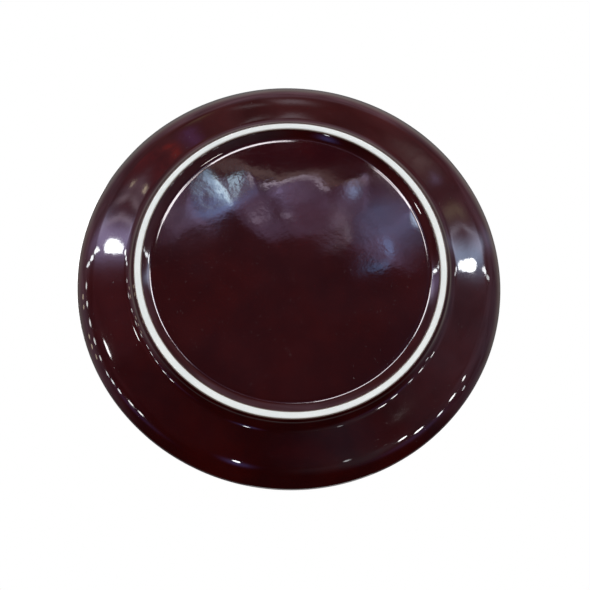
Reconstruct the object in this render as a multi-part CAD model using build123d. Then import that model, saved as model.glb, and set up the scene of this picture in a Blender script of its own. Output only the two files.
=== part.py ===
"""Glazed stoneware dinner plate, coupe shape, standing face up on its foot ring.

Frame: millimetres, +Z up, origin at the centre of the foot ring's contact plane, +Z also the axis of revolution.

The plate is one fired piece of white stoneware with glaze fused to it, so it is built as the three bodies of material
that it is made of:
  stoneware_body  the fired clay: floor, foot ring, flank and rim in one piece. Only its foot ring is bare
  outer_glaze     the coat that starts on the outside of the foot ring, runs up the flank, over the lip and across the face
  base_glaze      the separate coat on the recessed base inside the foot ring
The bare, wiped contact band of the foot ring lies between the two coats.

Each section is drawn as a path of tangent lines and arcs in the (radius, height) half-plane. The glaze surface is the
path that carries the sizes, and the clay surface is the same path, set back by the glaze thickness.
"""
import math
import os
from build123d import *

# ---- driving dimensions, mm ----
LIP_RADIUS = 133.5          # widest point of the lip, glaze included
LIP_WIDEST_HEIGHT = 21.0    # height of that widest point above the foot plane
LIP_TOP_RADIUS = 1.9        # rounding over the top of the lip
GLAZE = 0.40                # thickness of the fused glaze coat

FOOT_OUTER_RADIUS = 95.0    # bare clay foot ring, outside wall at the contact band
FOOT_INNER_RADIUS = 91.2    # bare clay foot ring, inside wall at the contact band
FOOT_EDGE_ROUND = 0.45      # rounding of the two edges of the contact band
BARE_HEIGHT = 0.60          # the glaze is wiped back to this height above the foot plane
GLAZE_EDGE_ROUND = 0.30     # soft edge where each coat ends above the foot

BASE_HEIGHT = 4.00          # recessed base panel above the foot plane (glaze surface)
BASE_CORNER = (4.0, 27.0)     # radius, slope reached in degrees: small corner at the edge of the base panel
BASE_COVE = (33.0, 34.0)      # then a nearly straight slope
FOOT_INSIDE_COVE = (1.3, 68.0)  # then a tight one up to the inside wall of the foot

FOOT_WALL_SLOPE = 66.0      # outside wall of the foot, degrees from level
FOOT_COVE_RADIUS = 10.0     # cove between the foot and the flank
FLANK_START_RADIUS = 102.8  # where the cove has eased into the flank
FLANK_END_RADIUS = 121.0    # where the flank starts to roll up to the lip
FLANK_END_SLOPE = 14.0      # slope at both ends of the flank
FLANK_MID_SLOPE = 12.4      # slope half way along it
ROLL_BREAK_SLOPE = 45.0     # the roll tightens here

FACE_FLOOR_HEIGHT = 9.0     # flat floor of the face above the foot plane (glaze surface)
FACE_FLOOR_RADIUS = 77.0    # its flat part
FACE_FLOOR_BEND = 60.0      # bend from the floor into the face's slope
FACE_SLOPE = 13.5           # slope of the face between floor and rim
FACE_LIP_SLOPE = 45.0       # slope of the face where it meets the rounding of the lip


def sin(deg):
    return math.sin(math.radians(deg))


def cos(deg):
    return math.cos(math.radians(deg))


def solve2(a, b, c, d, e, f):
    """x, y of a*x + b*y = c and d*x + e*y = f."""
    det = a * e - b * d
    return (c * e - b * f) / det, (a * f - c * d) / det


class Path:
    """Tangent lines and arcs in the (radius, height) plane. Each piece is ('line', p, q) or ('arc', p, middle, q)."""

    def __init__(self, start, heading):
        self.at, self.heading, self.pieces = start, heading, []

    def line(self, length):
        if length > 1e-9:
            p = self.at
            q = (p[0] + length * cos(self.heading), p[1] + length * sin(self.heading))
            self.pieces.append(("line", p, q))
            self.at = q
        return self

    def turn(self, radius, heading):
        """An arc of that radius until the path heads that way; the sign of the change is the way it turns."""
        side = 1 if heading > self.heading else -1
        p = self.at
        centre = (p[0] - side * radius * sin(self.heading), p[1] + side * radius * cos(self.heading))
        point = lambda h: (centre[0] + side * radius * sin(h), centre[1] - side * radius * cos(h))
        mid, q = point((self.heading + heading) / 2), point(heading)
        self.pieces.append(("arc", p, mid, q))
        self.at, self.heading = q, heading
        return self


def base_path(set_back):
    """Recessed base, from the axis out to the inside wall of the foot. set_back is 0 for the glaze surface and GLAZE for the clay."""
    corner, cove, inside = BASE_CORNER, BASE_COVE, FOOT_INSIDE_COVE
    across = (corner[0] * sin(corner[1]) + cove[0] * (sin(cove[1]) - sin(corner[1]))
              + inside[0] * (sin(inside[1]) - sin(cove[1])))
    down = (corner[0] * (1 - cos(corner[1])) + cove[0] * (cos(corner[1]) - cos(cove[1]))
            + inside[0] * (cos(cove[1]) - cos(inside[1])))
    wall = (BASE_HEIGHT - BARE_HEIGHT - down) / sin(inside[1])
    assert wall > 0, wall
    across += wall * cos(inside[1])
    # the glaze surface stands GLAZE inside the bare wall, measured square to it, where the coat ends
    edge = FOOT_INNER_RADIUS - GLAZE * sin(inside[1])
    start = edge - across
    path = Path((0.0, BASE_HEIGHT + set_back), 0.0)
    path.line(start)
    path.turn(corner[0] + set_back, -corner[1])
    path.turn(cove[0] + set_back, -cove[1])
    path.turn(inside[0] + set_back, -inside[1])
    return path, wall


def outer_path(set_back):
    """From the outside wall of the foot, along the flank, over the lip and across the face to the axis."""
    edge = FOOT_OUTER_RADIUS + GLAZE * sin(FOOT_WALL_SLOPE)
    cove_across = FOOT_COVE_RADIUS * (sin(FOOT_WALL_SLOPE) - sin(FLANK_END_SLOPE))
    wall_across = FLANK_START_RADIUS - cove_across - edge
    wall = wall_across / cos(FOOT_WALL_SLOPE)
    assert wall > 0, wall
    # glaze surface: flank of two long arcs that meet at the mid slope
    half = (FLANK_END_RADIUS - FLANK_START_RADIUS) / 2
    flank = half / (sin(FLANK_END_SLOPE) - sin(FLANK_MID_SLOPE))
    z = (BARE_HEIGHT + wall * sin(FOOT_WALL_SLOPE)
         + FOOT_COVE_RADIUS * (cos(FLANK_END_SLOPE) - cos(FOOT_WALL_SLOPE))
         + 2 * flank * (cos(FLANK_MID_SLOPE) - cos(FLANK_END_SLOPE)))
    # roll: two arcs that end at the lip's widest point, going straight up
    a, b = ROLL_BREAK_SLOPE, FLANK_END_SLOPE
    roll_1, roll_2 = solve2(sin(a) - sin(b), 1 - sin(a), LIP_RADIUS - FLANK_END_RADIUS,
                            cos(b) - cos(a), cos(a), LIP_WIDEST_HEIGHT - z)
    # face: from the lip's rounding down to the flat floor
    lip = LIP_TOP_RADIUS
    x1 = LIP_RADIUS - lip - lip * sin(FACE_LIP_SLOPE)
    z1 = LIP_WIDEST_HEIGHT + lip * cos(FACE_LIP_SLOPE)
    s, t = FACE_SLOPE, FACE_LIP_SLOPE
    rim, slope = solve2(sin(t) - sin(s), cos(s), x1 - FACE_FLOOR_RADIUS - FACE_FLOOR_BEND * sin(s),
                        cos(s) - cos(t), sin(s), z1 - FACE_FLOOR_HEIGHT - FACE_FLOOR_BEND * (1 - cos(s)))
    assert min(roll_1, roll_2, rim, slope) > GLAZE, (roll_1, roll_2, rim, slope)
    if set_back == 0.0:
        print("roll radii", round(roll_1, 2), round(roll_2, 2), "rim", round(rim, 2), "slope length", round(slope, 2),
              "flank radius", round(flank, 1), "foot wall", round(wall, 2), "height at flank end", round(z, 2))
    d = set_back
    path = Path((edge - d * sin(FOOT_WALL_SLOPE), BARE_HEIGHT + d * cos(FOOT_WALL_SLOPE)), FOOT_WALL_SLOPE)
    path.line(wall)
    path.turn(FOOT_COVE_RADIUS + d, FLANK_END_SLOPE)
    path.turn(flank + d, FLANK_MID_SLOPE)
    path.turn(flank - d, FLANK_END_SLOPE)
    path.turn(roll_1 - d, ROLL_BREAK_SLOPE)
    path.turn(roll_2 - d, 90.0)
    path.turn(lip - d, 180.0)
    path.turn(lip - d, 180.0 + t)
    path.turn(rim + d, 180.0 + s)
    path.line(slope)
    path.turn(FACE_FLOOR_BEND + d, 180.0)
    path.line(path.at[0])
    return path, wall


def edges(pieces):
    made = []
    for piece in pieces:
        if piece[0] == "line":
            made.append(Line(piece[1], piece[2]))
        else:
            made.append(ThreePointArc(*piece[1:]))
    return made


def face_of(pieces):
    """The closed region inside a loop of pieces, as a face in the XZ plane."""
    wire = Wire([e.wire() if not isinstance(e, Edge) else e for e in edges(pieces)])
    flat = make_face(wire)
    return Plane.XZ * flat


def backwards(pieces):
    return [("line", p[2], p[1]) if p[0] == "line" else ("arc", p[3], p[2], p[1]) for p in reversed(pieces)]


def joined(p, q):
    return [] if math.dist(p, q) < 1e-7 else [("line", p, q)]


# ---- the clay section ----
base_clay, base_wall = base_path(GLAZE)
outer_clay, _ = outer_path(GLAZE)


def foot_tip():
    """The bare foot: down the inside wall, round its edge, along the contact band, round its edge and up the outside wall."""
    a, b, r = FOOT_INSIDE_COVE[1], FOOT_WALL_SLOPE, FOOT_EDGE_ROUND
    # the inside wall passes through (FOOT_INNER_RADIUS, BARE_HEIGHT) and the outside wall through (FOOT_OUTER_RADIUS, BARE_HEIGHT)
    start = base_clay.at
    inner = Path(start, -a)
    # the length down to where a rounding of radius r touches the foot plane, along the wall
    drop = start[1] - r * (1 - cos(a))
    inner.line(drop / sin(a))
    inner.turn(r, 0.0)
    end = outer_clay.pieces[0][1]
    # the outside wall's line, carried down to its own rounding
    down = end[1] - r * (1 - cos(b))
    foot_out = (end[0] - down / math.tan(math.radians(b)), r * (1 - cos(b)))
    outer = Path((foot_out[0] - r * sin(b), 0.0), 0.0)
    outer.turn(r, b)
    return inner.pieces + joined(inner.at, outer.pieces[0][1]) + outer.pieces + joined(outer.at, end)


tip = foot_tip()
clay_loop = (base_clay.pieces + tip + outer_clay.pieces
             + joined(outer_clay.at, base_clay.pieces[0][1]))
stoneware_body = revolve(face_of(clay_loop), Axis.Z, 360)


def coat(surface, wall, clay, at_start):
    """The region between a glaze surface and the clay under it, with a soft edge where the coat ends above the foot."""
    r = GLAZE_EDGE_ROUND
    if at_start:      # the outer coat starts at the foot
        first = surface.pieces[0]
        p, q = first[1], first[2]
        n = (-sin(FOOT_WALL_SLOPE), cos(FOOT_WALL_SLOPE))       # towards the clay
        t = (cos(FOOT_WALL_SLOPE), sin(FOOT_WALL_SLOPE))
        k = 1 - 1 / math.sqrt(2)
        a = (p[0] + t[0] * r, p[1] + t[1] * r)                  # on the glaze surface
        c = (p[0] + n[0] * r, p[1] + n[1] * r)                  # on the end of the coat
        m = (p[0] + (t[0] + n[0]) * r * k, p[1] + (t[1] + n[1]) * r * k)
        pieces = [("arc", c, m, a), ("line", a, q)] + surface.pieces[1:]
        loop = pieces + joined(surface.at, clay.at) + backwards(clay.pieces) + joined(clay.pieces[0][1], c)
        return loop
    heading = math.radians(surface.heading)
    t = (math.cos(heading), math.sin(heading))                   # down the inside wall
    n = (-t[1], t[0])                                            # towards the clay
    k = 1 - 1 / math.sqrt(2)
    p = (surface.at[0] + t[0] * wall, surface.at[1] + t[1] * wall)
    a = (p[0] - t[0] * r, p[1] - t[1] * r)
    c = (p[0] + n[0] * r, p[1] + n[1] * r)
    m = (p[0] + (n[0] - t[0]) * r * k, p[1] + (n[1] - t[1]) * r * k)
    end = (p[0] + n[0] * GLAZE, p[1] + n[1] * GLAZE)             # on the clay
    straight = wall - r
    pieces = list(surface.pieces)
    assert straight > 0, straight
    pieces += [("line", surface.at, a), ("arc", a, m, c)] + joined(c, end) + joined(end, clay.at)
    return pieces + backwards(clay.pieces) + joined(clay.pieces[0][1], surface.pieces[0][1])


outer_surface, outer_wall = outer_path(0.0)
base_surface, base_wall = base_path(0.0)
outer_glaze = revolve(face_of(coat(outer_surface, outer_wall, outer_clay, True)), Axis.Z, 360)
base_glaze = revolve(face_of(coat(base_surface, base_wall, base_clay, False)), Axis.Z, 360)

os.makedirs("parts", exist_ok=True)
for name, shape in (("stoneware_body", stoneware_body), ("outer_glaze", outer_glaze), ("base_glaze", base_glaze)):
    solids = shape.solids()
    print(name, len(solids), "solid", round(sum(s.volume for s in solids) / 1000, 2), "cm3", shape.bounding_box())
    export_step(shape, f"parts/{name}.step")
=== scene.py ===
import math
import bpy
import numpy as np
from mathutils import Matrix, Vector


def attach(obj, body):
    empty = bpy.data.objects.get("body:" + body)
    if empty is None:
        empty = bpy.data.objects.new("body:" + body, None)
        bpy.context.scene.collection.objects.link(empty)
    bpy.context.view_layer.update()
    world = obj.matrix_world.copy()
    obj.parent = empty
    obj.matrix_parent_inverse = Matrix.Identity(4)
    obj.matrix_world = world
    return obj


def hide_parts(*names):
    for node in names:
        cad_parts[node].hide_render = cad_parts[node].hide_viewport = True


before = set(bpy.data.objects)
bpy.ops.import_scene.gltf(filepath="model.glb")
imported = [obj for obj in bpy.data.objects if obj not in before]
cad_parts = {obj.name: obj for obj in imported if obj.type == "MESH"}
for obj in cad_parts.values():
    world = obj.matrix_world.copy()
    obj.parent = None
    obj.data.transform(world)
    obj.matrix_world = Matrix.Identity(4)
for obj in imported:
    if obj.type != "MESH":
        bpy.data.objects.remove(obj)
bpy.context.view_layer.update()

# A glazed dinner plate, standing face up on its bare foot ring. The camera looks up at its underside.
# Lengths are millimetres while a section is drawn, and metres in every mesh.
SEGMENTS = 480

# ---------------------------------------------------------------- the plate's section
LIP_RADIUS, LIP_WIDEST_HEIGHT, LIP_TOP_RADIUS, GLAZE = 133.5, 21.0, 1.9, 0.40
FOOT_OUTER_RADIUS, FOOT_INNER_RADIUS, FOOT_EDGE_ROUND = 95.0, 91.2, 0.45
BARE_HEIGHT, GLAZE_EDGE_ROUND = 0.60, 0.30
BASE_HEIGHT, BASE_CORNER, BASE_COVE, FOOT_INSIDE_COVE = 4.00, (4.0, 27.0), (33.0, 34.0), (1.3, 68.0)
DIP_RADIUS, DIP_SLOPE = 26.0, 1.9          # a shallow dip at the edge of the base panel
FOOT_WALL_SLOPE, FOOT_COVE_RADIUS, FLANK_START_RADIUS, FLANK_END_RADIUS = 66.0, 10.0, 102.8, 121.0
FLANK_END_SLOPE, FLANK_MID_SLOPE, ROLL_BREAK_SLOPE = 14.0, 12.4, 45.0
FACE_FLOOR_HEIGHT, FACE_FLOOR_RADIUS, FACE_FLOOR_BEND = 9.0, 77.0, 60.0
FACE_SLOPE, FACE_LIP_SLOPE = 13.5, 45.0


def sin(deg):
    return math.sin(math.radians(deg))


def cos(deg):
    return math.cos(math.radians(deg))


def solve2(a, b, c, d, e, f):
    det = a * e - b * d
    return (c * e - b * f) / det, (a * f - c * d) / det


class Path:
    """Tangent lines and arcs in the (radius, height) plane, as points with the heading at each."""

    def __init__(self, start, heading):
        self.at, self.heading, self.points = start, heading, [(start[0], start[1], heading)]

    def line(self, length, step=1.5):
        if length > 1e-9:
            n = max(1, round(length / step))
            for i in range(1, n + 1):
                t = length * i / n
                self.points.append((self.at[0] + t * cos(self.heading), self.at[1] + t * sin(self.heading), self.heading))
            self.at = self.points[-1][:2]
        return self

    def turn(self, radius, heading, step=1.0, degrees=3.0):
        side = 1 if heading > self.heading else -1
        sweep = abs(heading - self.heading)
        n = max(2, math.ceil(sweep / degrees), math.ceil(radius * math.radians(sweep) / step))
        cx = self.at[0] - side * radius * sin(self.heading)
        cz = self.at[1] + side * radius * cos(self.heading)
        start = self.heading
        for i in range(1, n + 1):
            h = start + (heading - start) * i / n
            self.points.append((cx + side * radius * sin(h), cz - side * radius * cos(h), h))
        self.at, self.heading = self.points[-1][:2], heading
        return self


def base_path(d, fine=1.0):
    corner, cove, inside = BASE_CORNER, BASE_COVE, FOOT_INSIDE_COVE
    across = (corner[0] * sin(corner[1]) + cove[0] * (sin(cove[1]) - sin(corner[1]))
              + inside[0] * (sin(inside[1]) - sin(cove[1])))
    down = (corner[0] * (1 - cos(corner[1])) + cove[0] * (cos(corner[1]) - cos(cove[1]))
            + inside[0] * (cos(cove[1]) - cos(inside[1])))
    wall = (BASE_HEIGHT - BARE_HEIGHT - down) / sin(inside[1])
    across += wall * cos(inside[1])
    edge = FOOT_INNER_RADIUS - GLAZE * sin(inside[1])
    dip = DIP_RADIUS * sin(DIP_SLOPE) * 2
    path = Path((0.0, BASE_HEIGHT + d - DIP_RADIUS * (1 - cos(DIP_SLOPE)) * 2), 0.0)
    path.line(edge - across - dip, 1.6 * fine)
    path.turn(DIP_RADIUS - d, DIP_SLOPE, 0.1 * fine, 1.0 * fine)
    path.turn(DIP_RADIUS + d, 0.0, 0.1 * fine, 1.0 * fine)
    path.turn(corner[0] + d, -corner[1], 0.12 * fine, 2.0 * fine)
    path.turn(cove[0] + d, -cove[1], 0.45 * fine, 3.0 * fine)
    path.turn(inside[0] + d, -inside[1], 0.15 * fine, 5.0 * fine)
    return path, wall


def outer_path(d, fine=1.0):
    edge = FOOT_OUTER_RADIUS + GLAZE * sin(FOOT_WALL_SLOPE)
    cove_across = FOOT_COVE_RADIUS * (sin(FOOT_WALL_SLOPE) - sin(FLANK_END_SLOPE))
    wall = (FLANK_START_RADIUS - cove_across - edge) / cos(FOOT_WALL_SLOPE)
    half = (FLANK_END_RADIUS - FLANK_START_RADIUS) / 2
    flank = half / (sin(FLANK_END_SLOPE) - sin(FLANK_MID_SLOPE))
    z = (BARE_HEIGHT + wall * sin(FOOT_WALL_SLOPE) + FOOT_COVE_RADIUS * (cos(FLANK_END_SLOPE) - cos(FOOT_WALL_SLOPE))
         + 2 * flank * (cos(FLANK_MID_SLOPE) - cos(FLANK_END_SLOPE)))
    a, b = ROLL_BREAK_SLOPE, FLANK_END_SLOPE
    roll_1, roll_2 = solve2(sin(a) - sin(b), 1 - sin(a), LIP_RADIUS - FLANK_END_RADIUS,
                            cos(b) - cos(a), cos(a), LIP_WIDEST_HEIGHT - z)
    lip = LIP_TOP_RADIUS
    x1 = LIP_RADIUS - lip - lip * sin(FACE_LIP_SLOPE)
    z1 = LIP_WIDEST_HEIGHT + lip * cos(FACE_LIP_SLOPE)
    s, t = FACE_SLOPE, FACE_LIP_SLOPE
    rim, slope = solve2(sin(t) - sin(s), cos(s), x1 - FACE_FLOOR_RADIUS - FACE_FLOOR_BEND * sin(s),
                        cos(s) - cos(t), sin(s), z1 - FACE_FLOOR_HEIGHT - FACE_FLOOR_BEND * (1 - cos(s)))
    path = Path((edge - d * sin(FOOT_WALL_SLOPE), BARE_HEIGHT + d * cos(FOOT_WALL_SLOPE)), FOOT_WALL_SLOPE)
    path.line(wall, 0.3 * fine)
    path.turn(FOOT_COVE_RADIUS + d, FLANK_END_SLOPE, 0.5 * fine, 3.0 * fine)
    path.turn(flank + d, FLANK_MID_SLOPE, 1.2 * fine)
    path.turn(flank - d, FLANK_END_SLOPE, 1.2 * fine)
    path.turn(roll_1 - d, ROLL_BREAK_SLOPE, 0.7 * fine, 3.0 * fine)
    path.turn(roll_2 - d, 90.0, 0.3 * fine, 5.0 * fine)
    path.turn(lip - d, 180.0, 0.3 * fine, 7.5 * fine)
    path.turn(lip - d, 180.0 + t, 0.3 * fine, 7.5 * fine)
    path.turn(rim + d, 180.0 + s, 0.7 * fine, 3.0 * fine)
    path.line(slope, 1.6 * fine)
    path.turn(FACE_FLOOR_BEND + d, 180.0, 1.6 * fine)
    path.line(path.at[0], 1.8 * fine)
    return path, wall


def quarter(corner, along, across, r):
    """A rounded square corner: from corner + across * r round to corner + along * r, with the heading left to the caller."""
    c = (corner[0] + (along[0] + across[0]) * r, corner[1] + (along[1] + across[1]) * r)
    out = []
    for i in range(6):
        a = math.pi / 2 * i / 5
        out.append((c[0] - along[0] * r * math.cos(a) - across[0] * r * math.sin(a),
                    c[1] - along[1] * r * math.cos(a) - across[1] * r * math.sin(a)))
    return out


# Each section is a chain of (radius, height, heading, distance from the coat's bare end or None) from the axis to the
# axis, with the outside on its right. Only glaze surface points carry a distance.
def outer_section():
    surface, _ = outer_path(0.0)
    clay, _ = outer_path(GLAZE, 3.0)
    p, s = surface.points[0], FOOT_WALL_SLOPE
    along, across = (cos(s), sin(s)), (-sin(s), cos(s))
    r = GLAZE_EDGE_ROUND
    chain = [(x, z, None, None) for x, z, _ in reversed(clay.points)]
    chain += [(x, z, s, 0.0) for x, z in quarter(p, along, across, r)]
    last, run = chain[-1], r
    for x, z, h in surface.points:
        if math.dist((x, z), p[:2]) > r + 0.05:
            run += math.dist((x, z), last[:2])
            chain.append((x, z, h, run))
            last = chain[-1]
    return chain


def base_section():
    surface, wall = base_path(0.0)
    clay, _ = base_path(GLAZE, 3.0)
    x, z, h = surface.points[-1]
    along = (-cos(h), -sin(h))                        # back up the wall
    across = (-sin(h), cos(h))                        # towards the clay
    p = (x - along[0] * wall, z - along[1] * wall)
    r = GLAZE_EDGE_ROUND
    top = [(a, b, c, 0.0) for a, b, c in surface.points]
    rounded = [(a, b, h, 0.0) for a, b in reversed(quarter(p, along, across, r))]
    chain = top + rounded
    total = [0.0]
    for i in range(len(chain) - 1, 0, -1):
        total.append(total[-1] + math.dist(chain[i][:2], chain[i - 1][:2]))
    total.reverse()
    chain = [(a, b, c, max(0.0, t - 0.47)) for (a, b, c, _), t in zip(chain, total)]
    end = (p[0] + across[0] * GLAZE, p[1] + across[1] * GLAZE)
    return chain + [(end[0], end[1], None, None)] + [(a, b, None, None) for a, b, _ in reversed(clay.points)]


def body_section():
    base, _ = base_path(GLAZE, 1.6)
    outer, _ = outer_path(GLAZE, 1.6)
    a, b, r = FOOT_INSIDE_COVE[1], FOOT_WALL_SLOPE, FOOT_EDGE_ROUND
    inner = Path(base.at, -a)
    inner.line((base.at[1] - r * (1 - cos(a))) / sin(a), 0.35)
    inner.turn(r, 0.0, 0.1, 12.0)
    end = outer.points[0]
    foot = (end[0] - (end[1] - r * (1 - cos(b))) / math.tan(math.radians(b)), r * (1 - cos(b)))
    rise = Path((foot[0] - r * sin(b), 0.0), 0.0)
    rise.turn(r, b, 0.1, 12.0)
    rise.line(math.dist(rise.at, end[:2]), 0.35)
    x0, x1 = inner.at[0], rise.points[0][0]
    flat = [(x0 + (x1 - x0) * i / 8, 0.0, 0.0) for i in range(1, 8)]
    points = base.points + inner.points[1:] + flat + rise.points[:-1] + outer.points
    return [(x, z, None, None) for x, z, _ in points]


# ---------------------------------------------------------------- hand-made irregularity
def waves(lengths, seed):
    r = np.random.default_rng(seed)
    out = []
    for length in lengths:
        a, p = r.uniform(0, 2 * math.pi, 2)
        out.append((2 * math.pi / length * math.cos(a), 2 * math.pi / length * math.sin(a), p, length / 40.0))
    return out


UNDER = waves([62, 55, 47, 41, 36, 33, 29, 26, 22, 19], 5)
OVER = waves([80, 66, 52, 44, 37, 30, 25], 9)


def roll_of(x, y, set_of):
    total = np.zeros_like(x)
    for kx, ky, p, a in set_of:
        total += a * np.sin(kx * x + ky * y + p)
    return total / math.sqrt(len(set_of))


def step(x, a, b):
    t = np.clip((x - a) / (b - a), 0, 1)
    return t * t * (3 - 2 * t)


def ripple(theta, orders, seed):
    r = np.random.default_rng(seed)
    total = np.zeros_like(theta)
    for n in orders:
        total += np.sin(n * theta + r.uniform(0, 2 * math.pi)) / math.sqrt(n)
    return total / math.sqrt(len(orders))


def foot_shift(theta):
    """How far the inside and the outside of the foot ring stand off their true circles, mm."""
    inside = 0.29 * np.cos(2 * (theta - math.radians(50))) + 0.05 * ripple(theta, (3, 5, 7, 11), 3)
    outside = 0.05 * ripple(theta, (2, 3, 5, 9), 4) - 0.17
    return inside, outside


def lathe(name, chain, wave=0.0):
    """Turns a section round the axis into a closed mesh."""
    n = SEGMENTS
    theta = np.arange(n) * 2 * math.pi / n
    inside, outside = foot_shift(theta)
    creep = 0.10 * ripple(theta, (4, 7, 13, 21, 34, 55), 6) + 0.04 * ripple(theta, (89, 120), 8)
    verts, rings = [], []
    for r, z, heading, run in chain:
        if r < 1e-6:
            rings.append(len(verts))
            dz = 0.0
            if run is not None and wave:
                x = np.array([0.0])
                under = abs(heading) < 90
                dz = -float((0.9 + roll_of(x, x, UNDER if under else OVER)).clip(0, 2.4)[0]) * wave
                dz = -dz if under else dz
            verts.append((0.0, 0.0, z + dz))
            continue
        rr, zz = np.full(n, r), np.full(n, z)
        if z < 3.4 and 88.0 < r < 100.0:
            fade = 1 - step(np.array([z]), 0.9, 3.3)[0]
            if r < 93.1:
                rr = rr + inside * fade * (1 - step(np.array([r]), 91.6, 93.1)[0])
            else:
                rr = rr + outside * fade * step(np.array([r]), 93.1, 94.4)[0]
        if run is not None:
            if run < 1.3:                                 # the glaze's lower edge wanders a little
                slide = creep * (1 - run / 1.3) ** 2
                rr, zz = rr + slide * cos(abs(heading)) * (1 if r > 93 else -1), zz + slide * sin(abs(heading))
            if wave:
                # the outward normal is on the right of the heading
                nr, nz = sin(heading), -cos(heading)
                x, y = rr * np.cos(theta), rr * np.sin(theta)
                over = float(step(np.array([heading]), 70.0, 160.0)[0])
                amount = (0.9 + roll_of(x, y, UNDER) * (1 - over) + roll_of(x, y, OVER) * over).clip(0, 2.4)
                amount = amount * wave * float(step(np.array([run]), 1.5, 6.0)[0])
                rr, zz = rr - nr * amount, zz - nz * amount
        rings.append(np.arange(len(verts), len(verts) + n))
        verts.extend(zip((rr * np.cos(theta)).tolist(), (rr * np.sin(theta)).tolist(), zz.tolist()))
    faces = []
    nxt = np.roll(np.arange(n), -1)
    for a, b in zip(rings, rings[1:]):
        if isinstance(a, int) and isinstance(b, int):
            continue
        if isinstance(a, int):
            faces.extend(zip([a] * n, b[nxt].tolist(), b.tolist()))
        elif isinstance(b, int):
            faces.extend(zip(a.tolist(), a[nxt].tolist(), [b] * n))
        else:
            faces.extend(zip(a.tolist(), a[nxt].tolist(), b[nxt].tolist(), b.tolist()))
    mesh = bpy.data.meshes.new(name)
    mesh.from_pydata([(x / 1000, y / 1000, z / 1000) for x, y, z in verts], [], faces)
    mesh.validate()
    mesh.polygons.foreach_set("use_smooth", [True] * len(mesh.polygons))
    mesh.set_sharp_from_angle(angle=math.radians(50))
    mesh.update()
    obj = bpy.data.objects.new(name, mesh)
    bpy.context.scene.collection.objects.link(obj)
    return obj


# ---------------------------------------------------------------- node graphs written as sums
class Num:
    """A number in a node graph, so that a graph can be written as an expression."""

    def __init__(self, tree, socket):
        self.tree, self.socket = tree, socket

    def math(self, op, *others, clamp=False, swap=False):
        node = self.tree.nodes.new("ShaderNodeMath")
        node.operation, node.use_clamp = op, clamp
        args = [self, *others]
        if swap:
            args.reverse()
        for i, a in enumerate(args):
            if isinstance(a, Num):
                self.tree.links.new(a.socket, node.inputs[i])
            else:
                node.inputs[i].default_value = float(a)
        return Num(self.tree, node.outputs[0])

    __add__ = __radd__ = lambda a, b: a.math("ADD", b)
    __mul__ = __rmul__ = lambda a, b: a.math("MULTIPLY", b)
    __sub__ = lambda a, b: a.math("SUBTRACT", b)
    __rsub__ = lambda a, b: a.math("SUBTRACT", b, swap=True)
    __truediv__ = lambda a, b: a.math("DIVIDE", b)
    __pow__ = lambda a, b: a.math("POWER", b)
    abs = lambda a: a.math("ABSOLUTE")
    max = lambda a, b: a.math("MAXIMUM", b)
    min = lambda a, b: a.math("MINIMUM", b)

    def smooth(self, lo, hi, to_lo=0.0, to_hi=1.0):
        node = self.tree.nodes.new("ShaderNodeMapRange")
        node.interpolation_type = "SMOOTHSTEP"
        self.tree.links.new(self.socket, node.inputs["Value"])
        for k, v in (("From Min", lo), ("From Max", hi), ("To Min", to_lo), ("To Max", to_hi)):
            node.inputs[k].default_value = v
        return Num(self.tree, node.outputs["Result"])


def bell(a, b, ra, rb, centre_a=0.0, centre_b=0.0):
    """A soft round spot of radii ra, rb in two coordinates."""
    u, v = (a - centre_a) * (1 / ra), (b - centre_b) * (1 / rb)
    return (u * u + v * v).math("MULTIPLY", -1.0).math("EXPONENT")


def mix(tree, factor, a, b):
    """Colour a where factor is 0, b where it is 1. Each is a socket or a colour."""
    node = tree.nodes.new("ShaderNodeMix")
    node.data_type = "RGBA"
    tree.links.new(factor.socket, node.inputs[0])
    for socket, v in ((node.inputs[6], a), (node.inputs[7], b)):
        if isinstance(v, bpy.types.NodeSocket):
            tree.links.new(v, socket)
        else:
            socket.default_value = (*v, 1.0)
    return node.outputs[2]


def scaled(tree, colour, factor):
    node = tree.nodes.new("ShaderNodeVectorMath")
    node.operation = "SCALE"
    if isinstance(colour, bpy.types.NodeSocket):
        tree.links.new(colour, node.inputs[0])
    else:
        node.inputs[0].default_value = colour
    if isinstance(factor, Num):
        tree.links.new(factor.socket, node.inputs["Scale"])
    else:
        node.inputs["Scale"].default_value = factor
    return node.outputs[0]


def added(tree, a, b):
    node = tree.nodes.new("ShaderNodeVectorMath")
    node.operation = "ADD"
    tree.links.new(a, node.inputs[0])
    tree.links.new(b, node.inputs[1])
    return node.outputs[0]


def noise(tree, vector, scale, detail=2.0, rough=0.5, distortion=0.0):
    node = tree.nodes.new("ShaderNodeTexNoise")
    tree.links.new(vector, node.inputs["Vector"])
    node.inputs["Scale"].default_value = scale
    node.inputs["Detail"].default_value = detail
    node.inputs["Roughness"].default_value = rough
    node.inputs["Distortion"].default_value = distortion
    return Num(tree, node.outputs["Fac"])


def new_material(name):
    m = bpy.data.materials.new(name)
    m.use_nodes = True
    tree = m.node_tree
    shader = next(n for n in tree.nodes if n.type == "BSDF_PRINCIPLED")
    coords = tree.nodes.new("ShaderNodeTexCoord").outputs["Object"]
    split = tree.nodes.new("ShaderNodeSeparateXYZ")
    tree.links.new(coords, split.inputs[0])
    x, y, z = (Num(tree, split.outputs[i]) for i in range(3))
    return m, tree, shader, coords, x, y, z


def bump(tree, height, distance, after=None):
    node = tree.nodes.new("ShaderNodeBump")
    node.inputs["Strength"].default_value = 1.0
    node.inputs["Distance"].default_value = distance
    tree.links.new(height.socket, node.inputs["Height"])
    if after is not None:
        tree.links.new(after, node.inputs["Normal"])
    return node.outputs["Normal"]


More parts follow.
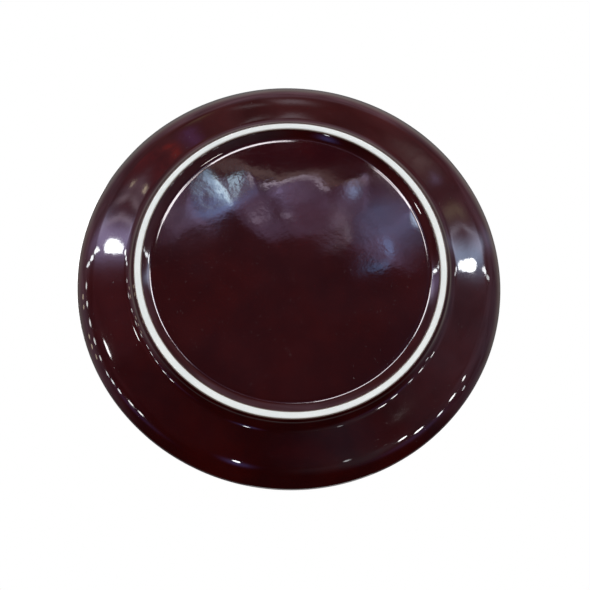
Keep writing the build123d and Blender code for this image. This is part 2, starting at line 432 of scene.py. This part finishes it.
def glaze_material(name):
    """Deep oxblood glaze: near black-red glass, redder and browner where it is thin, over a slightly uneven surface."""
    m, tree, shader, coords, x, y, z = new_material(name)
    r = (x * x + y * y) ** 0.5
    pool = noise(tree, coords, 22.0, 3.0, 0.55, 0.4)           # slow drifts of thickness
    cloud = noise(tree, coords, 75.0, 4.0, 0.6)                # the finer mottling inside them
    speck = noise(tree, coords, 900.0, 2.0, 0.6)
    depth = (pool.smooth(0.34, 0.68) * 0.7 + cloud.smooth(0.35, 0.7) * 0.3)
    colour = mix(tree, depth, (0.0120, 0.00055, 0.00065), (0.0235, 0.0011, 0.0007))
    colour = mix(tree, speck.smooth(0.66, 0.80) * 0.30, colour, (0.060, 0.006, 0.003))
    # glass thins over the lip and at the wiped edges above the foot, and lets the pale clay through
    lip = (z * 1000.0).smooth(22.2, 22.85) * (cloud.smooth(0.30, 0.62) * 0.6 + 0.4)
    low = (z * 1000.0).smooth(1.25, 0.72) * (r * 1000.0).smooth(88.0, 90.0)
    colour = mix(tree, lip * 0.75, colour, (0.085, 0.016, 0.008))
    colour = mix(tree, low * 0.85, colour, (0.14, 0.105, 0.085))
    tree.links.new(colour, shader.inputs["Base Color"])
    haze = noise(tree, coords, 40.0, 3.0, 0.6)
    rough = haze.smooth(0.3, 0.75, 0.028, 0.060) + low * 0.16
    tree.links.new(rough.socket, shader.inputs["Roughness"])
    shader.inputs["IOR"].default_value = 1.52
    peel = noise(tree, coords, 330.0, 1.5, 0.5)
    fine = noise(tree, coords, 900.0, 1.0, 0.5)
    pits = noise(tree, coords, 1500.0, 0.0, 0.5).smooth(0.18, 0.10)
    n = bump(tree, peel, 0.0000075)
    n = bump(tree, fine, 0.0000016, n)
    n = bump(tree, pits, -0.000020, n)
    tree.links.new(n, shader.inputs["Normal"])
    return m


def clay_material(name):
    """Bare white stoneware: a matt, wiped and lightly ground surface with a fine grain."""
    m, tree, shader, coords, x, y, z = new_material(name)
    r = (x * x + y * y) ** 0.5
    drift = noise(tree, coords, 30.0, 3.0, 0.55)
    grain = noise(tree, coords, 1400.0, 3.0, 0.65)
    stain = noise(tree, coords, 160.0, 4.0, 0.7)
    speck = noise(tree, coords, 1100.0, 1.0, 0.4)
    colour = mix(tree, drift.smooth(0.3, 0.7), (0.735, 0.765, 0.755), (0.800, 0.815, 0.800))
    colour = mix(tree, grain.smooth(0.35, 0.75) * 0.35, colour, (0.66, 0.68, 0.66))
    colour = mix(tree, stain.smooth(0.60, 0.78) * 0.22, colour, (0.52, 0.49, 0.44))
    colour = mix(tree, speck.smooth(0.74, 0.80) * 0.5, colour, (0.20, 0.16, 0.13))
    # a trace of glaze left in the grain next to each coat
    near = ((z * 1000.0).smooth(0.30, 0.60) * 0.55)
    colour = mix(tree, near, colour, (0.42, 0.36, 0.31))
    tree.links.new(colour, shader.inputs["Base Color"])
    tree.links.new(grain.smooth(0.2, 0.8, 0.62, 0.86).socket, shader.inputs["Roughness"])
    rings = ((r * 9000.0) + stain * 4.0).math("SINE")          # faint grinding marks that follow the ring
    n = bump(tree, grain, 0.000022)
    n = bump(tree, rings, 0.0000018, n)
    tree.links.new(n, shader.inputs["Normal"])
    return m


# ---------------------------------------------------------------- the plate
body = lathe("bare_stoneware", body_section())
outer = lathe("oxblood_coat", outer_section(), wave=0.030)
base = lathe("oxblood_base", base_section(), wave=0.036)
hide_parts("stoneware_body")
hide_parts("outer_glaze")
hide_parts("base_glaze")
for piece in (body, outer, base):
    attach(piece, "root")
body.data.materials.append(clay_material("bare_clay"))
outer.data.materials.append(glaze_material("oxblood_glaze"))
base.data.materials.append(glaze_material("base_glaze"))


# ---------------------------------------------------------------- studio
def heading_of(across, up):
    """The direction, in the plate's frame, that lies 'across' and 'up' degrees from straight below the plate, as its underside sees it."""
    a = math.hypot(across, up)
    if a < 1e-6:
        return Vector((0, 0, -1))
    s = math.sin(math.radians(a)) / a
    return Vector((across * s, -up * s, -math.cos(math.radians(a))))


def glow_material(name, colour, strength):
    m = bpy.data.materials.new(name)
    m.use_nodes = True
    tree = m.node_tree
    tree.nodes.clear()
    out = tree.nodes.new("ShaderNodeOutputMaterial")
    e = tree.nodes.new("ShaderNodeEmission")
    e.inputs["Color"].default_value = (*colour, 1.0)
    e.inputs["Strength"].default_value = strength
    tree.links.new(e.outputs[0], out.inputs["Surface"])
    return m


EYE = Vector((-0.01035, 0.15797, -0.43307))


def bearing(v):
    """The opposite of heading_of: a direction as degrees across and up."""
    v = v.normalized()
    a = math.degrees(math.acos(max(-1.0, min(1.0, -v.z))))
    k = a / max(1e-9, math.hypot(v.x, v.y))
    return v.x * k, -v.y * k


def mirror_point(across, up):
    """Where on the flank, or on the roll outside it, the camera would see a light in this direction."""
    phi, reach = math.atan2(up, across), 0.112
    for _ in range(30):
        p = Vector((reach * math.cos(phi), -reach * math.sin(phi), 0.010))
        cx, cy = bearing(EYE - p)
        nx, ny = (across + cx) / 2, (up + cy) / 2
        phi, tilt = math.atan2(ny, nx), math.hypot(nx, ny)
        reach = 0.112 if tilt < 14 else min(0.1325, 0.121 + 0.0248 * (sin(min(tilt, 60)) - sin(14)))
    return p, math.degrees(phi)


def lamp(name, across, up, radial, around, strength, colour=(1.0, 1.0, 1.0), away=3.0, corners=16, power=2.0):
    """A small bright panel that only the gloss of the underside shows. Its sizes are in degrees as the plate sees it, along and across the plate's radius."""
    d = heading_of(across, up)
    p, phi = mirror_point(across, up)
    at, e = p + d * away, 0.5
    u = (heading_of(across + e * cos(phi), up + e * sin(phi)) - d).normalized()
    v = d.cross(u).normalized()
    w, h = away * math.radians(radial) / 2, away * math.radians(around) / 2
    points = []
    for i in range(corners):
        a = 2 * math.pi * (i + 0.5) / corners
        c, s = math.cos(a), math.sin(a)
        c, s = math.copysign(abs(c) ** (2 / power), c), math.copysign(abs(s) ** (2 / power), s)
        points.append(at + u * (c * w) + v * (s * h))
    mesh = bpy.data.meshes.new(name)
    mesh.from_pydata([tuple(q) for q in points], [], [list(range(corners))])
    mesh.materials.append(glow_material(name, colour, strength))
    o = bpy.data.objects.new(name, mesh)
    bpy.context.scene.collection.objects.link(o)
    o.visible_camera = o.visible_diffuse = o.visible_shadow = o.visible_transmission = False
    return o


COOL, WARM, WHITE = (0.93, 0.96, 1.0), (1.0, 0.82, 0.62), (1.0, 1.0, 1.0)
lamps = [
    # two large lamps, each with a long thin tube beside it
    (-36.0, 23.8, 3.3, 2.7, 36, COOL, 3), (-43.0, 23.9, 9.0, 1.4, 28, COOL, 3), (-52.5, 23.6, 10.0, 1.3, 22, COOL, 3),
    (-62.5, 23.2, 11.0, 1.3, 15, COOL, 3),
    (39.2, 21.8, 2.6, 2.9, 36, COOL, 3), (45.5, 21.4, 7.5, 1.4, 22, COOL, 3), (54.0, 20.8, 10.0, 1.3, 11, COOL, 3),
    # single spots
    (-40.2, 0.5, 4.2, 4.6, 28, WHITE, 3), (-10.6, -26.8, 4.6, 2.1, 30, COOL, 0.7), (15.3, -25.0, 3.4, 1.9, 8, COOL, 0.7),
    (-32.0, 38.6, 0.6, 1.8, 7, WARM, 3), (22.0, -8.5, 5.0, 7.0, 40, (1.0, 0.90, 0.88), 3),
    # rows
    (31.2, -25.4, 3.8, 3.2, 34, WHITE, 3), (40.3, -27.6, 3.9, 3.2, 34, WHITE, 3), (51.3, -25.4, 3.7, 2.5, 24, COOL, 3),
    (52.2, -18.0, 4.2, 2.6, 28, WHITE, 3), (52.6, -10.4, 4.4, 2.2, 22, WHITE, 3), (65.5, -19.8, 4.0, 1.6, 12, COOL, 3),
    (-47.0, -28.3, 3.6, 2.3, 24, WHITE, 3), (-51.3, -25.6, 3.6, 2.3, 24, WHITE, 3), (-58.7, -23.4, 3.6, 2.0, 20, COOL, 3),
    (-62.3, -20.4, 3.6, 1.9, 18, COOL, 3), (-66.0, -18.2, 3.6, 1.8, 14, COOL, 3),
    (-67.0, -11.2, 4.6, 2.0, 11, WHITE, 3), (-67.0, -4.4, 4.8, 2.0, 11, WHITE, 3), (-67.0, 2.4, 4.8, 2.0, 13, WHITE, 3),
    (-67.0, 9.4, 4.8, 2.0, 13, WHITE, 3), (-66.0, 16.2, 4.6, 1.8, 12, WHITE, 3),
    (-80.0, 13.2, 4.6, 1.8, 6, WARM, 3), (-80.5, 8.6, 4.6, 1.6, 6, WARM, 3), (-80.5, -4.2, 4.6, 1.6, 6, WARM, 3),
    (-81.0, -8.8, 4.6, 1.6, 6, WARM, 3), (-78.0, -13.0, 4.6, 1.5, 5, WARM, 3),
]
for i, (across, up, radial, around, strength, colour, away) in enumerate(lamps):
    lamp(f"lamp_{i:02d}", across, up, radial, around, strength, colour, away)


def area_light(name, at, target, size, energy, colour=(1.0, 1.0, 1.0), size_y=None):
    data = bpy.data.lights.new(name, "AREA")
    data.energy, data.color, data.size = energy, colour, size
    if size_y:
        data.shape, data.size_y = "RECTANGLE", size_y
    o = bpy.data.objects.new(name, data)
    o.location = at
    o.rotation_euler = (Vector(target) - Vector(at)).to_track_quat("-Z", "Y").to_euler()
    bpy.context.scene.collection.objects.link(o)
    o.visible_camera = False
    return o                                      # lights that gloss would show with a hard edge are hidden from it


area_light("key", (-1.25, -0.75, 1.55), (0, 0, 0.01), 0.9, 16.0)
area_light("fill", (1.5, -1.1, 0.95), (0, 0, 0.01), 0.7, 5.0, (0.96, 0.98, 1.0), 1.1).visible_glossy = False
area_light("back", (0.3, 1.7, 1.2), (0, 0, 0.01), 1.4, 7.0, (1.0, 0.99, 0.97), 0.5)

# A wide pale floor under the foot ring. Seen from below it is clear, so that the underside stays in view.
bpy.ops.mesh.primitive_circle_add(vertices=96, radius=14.0, fill_type="NGON", location=(0, 0, -0.00005))
floor = bpy.context.object
floor.name = "floor"
m, tree, shader, coords, x, y, z = new_material("pale_floor")
tone = noise(tree, coords, 3.0, 4.0, 0.6)
tree.links.new(mix(tree, tone.smooth(0.3, 0.7), (0.80, 0.80, 0.795), (0.83, 0.83, 0.825)), shader.inputs["Base Color"])
shader.inputs["Roughness"].default_value = 0.85
tree.links.new(bump(tree, noise(tree, coords, 260.0, 3.0, 0.6), 0.0002), shader.inputs["Normal"])
clear = tree.nodes.new("ShaderNodeBsdfTransparent")
side = tree.nodes.new("ShaderNodeNewGeometry")
both = tree.nodes.new("ShaderNodeMixShader")
out = next(n for n in tree.nodes if n.type == "OUTPUT_MATERIAL")
tree.links.new(side.outputs["Backfacing"], both.inputs[0])
tree.links.new(shader.outputs[0], both.inputs[1])
tree.links.new(clear.outputs[0], both.inputs[2])
tree.links.new(both.outputs[0], out.inputs["Surface"])
floor.data.materials.append(m)
floor.visible_glossy = floor.visible_diffuse = floor.visible_shadow = floor.visible_transmission = False


def studio_world():
    """White for the camera, soft white for matt surfaces, and a dim room with soft lights for the gloss."""
    world = bpy.data.worlds.new("studio")
    bpy.context.scene.world = world
    world.use_nodes = True
    tree = world.node_tree
    tree.nodes.clear()
    out = tree.nodes.new("ShaderNodeOutputWorld")
    back = tree.nodes.new("ShaderNodeBackground")
    tree.links.new(back.outputs[0], out.inputs["Surface"])
    split = tree.nodes.new("ShaderNodeSeparateXYZ")
    tree.links.new(tree.nodes.new("ShaderNodeTexCoord").outputs["Generated"], split.inputs[0])
    dx, dy, dz = (Num(tree, split.outputs[i]) for i in range(3))
    down, up = dz * -1.0, dy * -1.0
    angle = down.max(-1.0).min(1.0).math("ARCCOSINE") * (180 / math.pi)
    flat = (dx * dx + dy * dy) ** 0.5
    k = angle / flat.max(0.0001)
    ex, ey = dx * k, up * k                       # degrees across and up from straight below, as heading_of has them
    pack = tree.nodes.new("ShaderNodeCombineXYZ")
    tree.links.new(ex.socket, pack.inputs[0])
    tree.links.new(ey.socket, pack.inputs[1])
    plane = pack.outputs[0]
    broad = noise(tree, plane, 0.055, 3.0, 0.55, 0.6)
    blot = noise(tree, plane, 0.17, 3.0, 0.6, 1.0)
    cloud = noise(tree, plane, 0.50, 3.0, 0.62, 0.7)
    grit = noise(tree, plane, 2.6, 2.0, 0.6, 0.3)
    wide = ex.abs()

    # dim room below: near black towards the bottom, dull rose to grey towards the top and the sides
    rise = (ey + 30.0 + wide * 0.45).math("MULTIPLY", 1 / 62.0).smooth(0.0, 1.0)
    room = mix(tree, wide.smooth(12, 55), (0.26, 0.11, 0.15), (0.60, 0.37, 0.50))
    room = mix(tree, (ex - ey * 0.4).smooth(2, 14) * wide.smooth(26, 14), room, (0.27, 0.27, 0.50))
    room = mix(tree, (ex - ey * 0.4).smooth(35, 75), room, (0.36, 0.28, 0.40))
    room = mix(tree, ex.smooth(-18, -34) * ex.smooth(-78, -58) * ey.smooth(25, 14), room, (0.36, 0.11, 0.15))
    room = mix(tree, ey.smooth(32, 60) * wide.smooth(70, 25), room, (0.46, 0.17, 0.19))
    room = mix(tree, ey.smooth(58, 68) * wide.smooth(70, 25), room, (0.85, 0.50, 0.63))
    room = mix(tree, ey.smooth(26.5, 28.0) * ey.smooth(33, 30) * wide.smooth(13, 10), room, (0.20, 0.06, 0.10))
    room = mix(tree, rise, (0.0, 0.012, 0.016), room)
    room = mix(tree, bell(ex, ey, 13.0, 11.0, 21.0, -30.0) * 0.9, room, (0.28, 0.32, 0.40))
    room = scaled(tree, room, broad.smooth(0.25, 0.75, 0.6, 1.4))
    edge = angle.smooth(78, 112) * (ey + wide * 0.25).smooth(-25, 25)
    room = mix(tree, edge, room, (1.05, 0.97, 0.90))
    total = [room]

    def spot(colour, a, b, ra, rb, turned=0.0, by=None):
        """A soft light at (a, b), of radii ra and rb, its first axis turned up from level."""
        u, v = ex - a, ey - b
        if turned:
            u, v = u * cos(turned) + v * sin(turned), v * cos(turned) - u * sin(turned)
        amount = bell(u, v, ra, rb)
        total.append(scaled(tree, colour, amount * by if by is not None else amount))

    # the lit band that the base panel shows, ragged below, with a few brighter patches in it
    ragged = (cloud - 0.5) * 1.3
    foot = (bell(ex, ey * 0.0, 1.5, 1.0, -3.7) * 1.7 + 21.7 - ex.smooth(5.0, 8.5) * 2.2 - ex.smooth(-4.5, -8.5) * 0.9)
    rising = (ey - foot + ragged).smooth(-0.1, 0.75)
    top = (ey * -1.0 + 26.1 + ragged * 0.4 + wide.smooth(4.0, 10.0) * 0.9).smooth(-0.1, 0.5)
    inside = bell(ex, ey, 13.5, 30.0, 1.0, 22.0).smooth(0.5, 0.62)
    haze = rising * top * inside * blot.smooth(0.30, 0.68, 0.30, 1.35) * cloud.smooth(0.25, 0.75, 0.6, 1.5)
    total.append(scaled(tree, (0.70, 0.54, 0.98), haze))
    ledge = ((ey - 26.55 + ragged * 0.5 + ex * 0.06).abs()).smooth(0.50, 0.15) * wide.smooth(8.5, 6.0)
    total.append(scaled(tree, (1.15, 0.85, 0.78), ledge * cloud.smooth(0.25, 0.6, 0.4, 1.1)))
    thread = ((ey - 26.0 + (ex - 1.3) * (ex - 1.3) * 0.07 + ragged * 0.25).abs()).smooth(0.20, 0.06) * (ex - 1.2).abs().smooth(2.6, 2.0)
    total.append(scaled(tree, (6.0, 5.2, 6.2), thread))
    patchy = cloud.smooth(0.28, 0.62, 0.55, 1.25)
    spot((5.6, 8.8, 11.8), -4.95, 25.5, 1.00, 0.46, -50, patchy)
    spot((12.0, 15.5, 17.0), -4.25, 25.20, 0.65, 0.18, -66)
    spot((9.0, 13.0, 15.5), -3.45, 25.60, 0.13, 0.42, 8)
    spot((8.5, 8.0, 9.0), -2.70, 25.80, 0.12, 0.28, 25)
    spot((0.9, 2.0, 4.2), -4.2, 24.2, 1.8, 0.55, 22)
    spot((0.55, 0.40, 0.60), -7.0, 23.1, 2.0, 1.7, 0, patchy)
    spot((1.3, 1.2, 2.2), 0.9, 25.0, 1.0, 0.55, 0, patchy)
    spot((2.6, 2.1, 2.8), -1.3, 23.35, 0.55, 0.22, -18)
    spot((2.4, 2.0, 2.7), 1.1, 23.5, 0.60, 0.25, 5)
    spot((1.5, 1.25, 1.6), 4.7, 23.0, 0.95, 1.05, 0, grit.smooth(0.3, 0.65, 0.3, 1.5))
    spot((2.8, 2.6, 2.9), 5.6, 22.1, 0.30, 0.30, 0, grit.smooth(0.3, 0.65, 0.4, 1.5))
    spot((2.6, 3.8, 6.2), 5.9, 25.4, 0.45, 0.50)
    spot((2.4, 2.0, 3.2), 6.9, 26.5, 0.40, 0.35)
    spot((0.80, 1.35, 2.6), 9.2, 22.9, 2.2, 1.5, 0, patchy)
    spot((1.5, 2.9, 5.6), 8.4, 21.1, 0.30, 0.42, 0, patchy)
    spot((0.9, 1.9, 3.8), 7.7, 19.9, 0.55, 0.30, 35, patchy)
    spot((7.5, 9.5, 12.5), 10.70, 23.3, 0.32, 1.05, 20, grit.smooth(0.3, 0.65, 0.4, 1.3))

    # thin lights just outside the view of the base panel: only its rounded edge shows them
    off_a, off_b = ex - 1.2, ey - 19.4
    reach = (off_a * off_a + off_b * off_b) ** 0.5
    round_at = off_b.math("ARCTAN2", off_a) * (180 / math.pi)
    hoop = (reach - 11.9).abs().smooth(1.05, 0.55)
    lit = ((round_at - 149.0).abs().smooth(12.0, 9.0) * 0.8 + (round_at - 110.0).abs().smooth(21.0, 16.0) * 0.7
           + (round_at - 40.0).abs().smooth(12.0, 9.0) * 0.9)
    total.append(scaled(tree, (1.0, 0.93, 0.98), hoop * lit * 34.0))
    beyond = reach.smooth(12.6, 13.2) * reach.smooth(21.5, 19.5)
    lit = ((round_at - 157.0).abs().smooth(13.0, 10.0) + (round_at - 118.0).abs().smooth(22.0, 18.0)
           + (round_at - 22.0).abs().smooth(17.0, 14.0))
    total.append(scaled(tree, (1.0, 0.94, 0.99), beyond * lit * 20.0))
    # lit lines that lead from there to the two large lamps
    left = ((ey - 26.5 + (ex + 24.0) * -0.18).abs()).smooth(4.5, 2.0) * (ex + 22.0).abs().smooth(8.5, 6.5)
    right = ((ey - 25.5 + (ex - 26.0) * 0.16).abs()).smooth(4.5, 2.0) * (ex - 23.5).abs().smooth(9.0, 7.0)
    total.append(scaled(tree, (1.0, 1.0, 1.06), (left + right) * 14.0))

    # glow round the large lamps, and what stands above them
    spot((2.6, 2.3, 4.0), -36.5, 25.0, 5.5, 3.6)
    spot((0.9, 0.8, 1.6), -48.0, 28.0, 17.0, 4.5, -8)
    spot((2.6, 2.5, 3.6), -41.0, 29.5, 3.6, 3.4)
    spot((2.6, 2.8, 3.8), 42.5, 28.0, 3.6, 3.2)
    spot((2.2, 1.8, 2.2), -35.0, 30.6, 3.2, 0.9, 12)
    spot((1.5, 1.2, 1.4), -34.0, 35.0, 2.6, 0.9, 20)
    spot((0.9, 0.7, 0.9), -31.5, 38.0, 4.0, 1.5, 30)
    spot((2.6, 3.6, 5.2), 39.5, 23.5, 4.2, 3.2)
    spot((1.6, 2.1, 3.0), 47.0, 28.6, 8.0, 2.2, 25)
    spot((0.6, 0.7, 1.1), 68.0, 38.0, 18.0, 4.5, 25)
    spot((1.5, 1.5, 1.8), 38.5, 30.6, 2.6, 0.8, -25)
    spot((0.8, 0.72, 0.40), 36.5, 34.5, 2.2, 1.5, -40)
    spot((0.8, 0.7, 1.3), 31.0, 41.0, 1.6, 1.3)
    spot((0.55, 0.45, 0.42), 27.0, 45.5, 5.5, 2.6, -35, patchy)
    # things in the room, out of focus: reds and purples at the upper left, grey at the top
    spot((0.9, 0.04, 0.0), -24.7, 46.8, 1.7, 1.2, 0, patchy)
    spot((0.5, 0.02, 0.02), -31.0, 44.0, 5.0, 4.0, 0, patchy)
    spot((0.25, 0.15, 0.6), -21.0, 50.0, 2.0, 2.2, 0, patchy)
    spot((0.6, 0.5, 0.25), -19.5, 55.0, 3.2, 0.8, 30)
    spot((1.2, 1.1, 1.25), 1.0, 58.5, 3.8, 0.9, -4)
    spot((0.7, 0.65, 0.7), -8.0, 57.0, 3.0, 0.5, 5)
    # faint blue fall-off below the row lamps
    spot((0.24, 0.18, 0.50), 45.0, -34.0, 14.0, 5.0, 30)
    spot((0.20, 0.15, 0.50), -54.0, -31.0, 12.0, 4.0, -35)
    spot((0.4, 0.45, 1.4), -11.6, -31.5, 3.4, 5.0, -12)
    below = total[0]
    for part in total[1:]:
        below = added(tree, below, part)

    # above the plate: a soft bright room for the eating face
    over = mix(tree, dz.smooth(0.0, 0.9), (0.60, 0.60, 0.61), (0.30, 0.31, 0.33))
    over = scaled(tree, over, broad.smooth(0.25, 0.75, 0.9, 1.1))
    gloss = mix(tree, angle.smooth(96, 116), below, over)
    matt_below = scaled(tree, (1.01, 1.02, 1.03), up * 0.26 + 1.0)
    matt = mix(tree, angle.smooth(85, 115), matt_below, (0.62, 0.62, 0.62))
    rays = tree.nodes.new("ShaderNodeLightPath")
    colour = mix(tree, Num(tree, rays.outputs["Is Glossy Ray"]), matt, gloss)
    colour = mix(tree, Num(tree, rays.outputs["Is Camera Ray"]), colour, (1.0, 1.0, 1.0))
    tree.links.new(colour, back.inputs["Color"])
    back.inputs["Strength"].default_value = 1.0
    world.cycles.sampling_method = "MANUAL"
    world.cycles.sample_map_resolution = 256


studio_world()

# ---------------------------------------------------------------- camera
eye, aim, roll = Vector((-10.35, 157.97, -433.07)), Vector((3.24, 14.81, 20.71)), math.radians(0.894)
forward = (aim - eye).normalized()
right = forward.cross(Vector((0, -1, 0))).normalized()
top = right.cross(forward)
cam_x = right * math.cos(roll) + top * math.sin(roll)
cam_y = top * math.cos(roll) - right * math.sin(roll)
camera = bpy.data.objects.new("camera", bpy.data.cameras.new("camera"))
camera.data.sensor_width, camera.data.lens = 36.0, 46.32
camera.data.shift_x, camera.data.shift_y = -0.5 / 590, 0.22 / 590
camera.data.clip_start, camera.data.clip_end = 0.01, 50.0
camera.matrix_world = Matrix((
    (cam_x.x, cam_y.x, -forward.x, eye.x / 1000), (cam_x.y, cam_y.y, -forward.y, eye.y / 1000),
    (cam_x.z, cam_y.z, -forward.z, eye.z / 1000), (0, 0, 0, 1)))
bpy.context.scene.collection.objects.link(camera)
bpy.context.scene.camera = camera
bpy.context.scene.view_settings.view_transform = "Standard"
bpy.context.scene.view_settings.look = "None"
